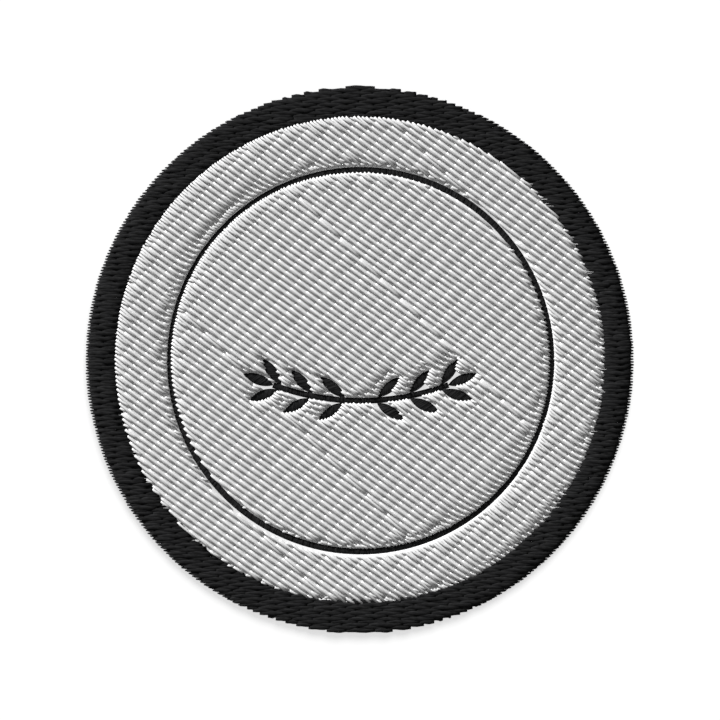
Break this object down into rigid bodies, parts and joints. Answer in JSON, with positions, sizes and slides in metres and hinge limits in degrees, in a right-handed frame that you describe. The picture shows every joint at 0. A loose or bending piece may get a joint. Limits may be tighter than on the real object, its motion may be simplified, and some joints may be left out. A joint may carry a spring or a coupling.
{
  "type": "embroidered patch",
  "caption": "Round embroidered patch: black stitched border, raised white stitch fill with a thin sunk black circle and a leafy black sprig, on a flat twill back to sew or iron on.",
  "frame": {"origin": "centre of the flat back of the twill cloth, which lies on the floor", "axes": "+Z out of the stitched face, +Y towards the top of the face (the sprig's tips curve that way), +X to the viewer's right"},
  "size_m": [0.0762, 0.0762, 0.0019],
  "materials": {
    "black_twill": "matt twill weave",
    "black_thread": "satin polyester thread",
    "white_thread": "satin polyester thread"
  },
  "bodies": {
    "root": {"base_cloth": "black_twill", "border": "black_thread", "ring_fill": "white_thread", "ring_line": "black_thread", "disc_fill": "white_thread", "sprig_stem": "black_thread", "sprig_leaves": "black_thread"}
  },
  "joints": []
}
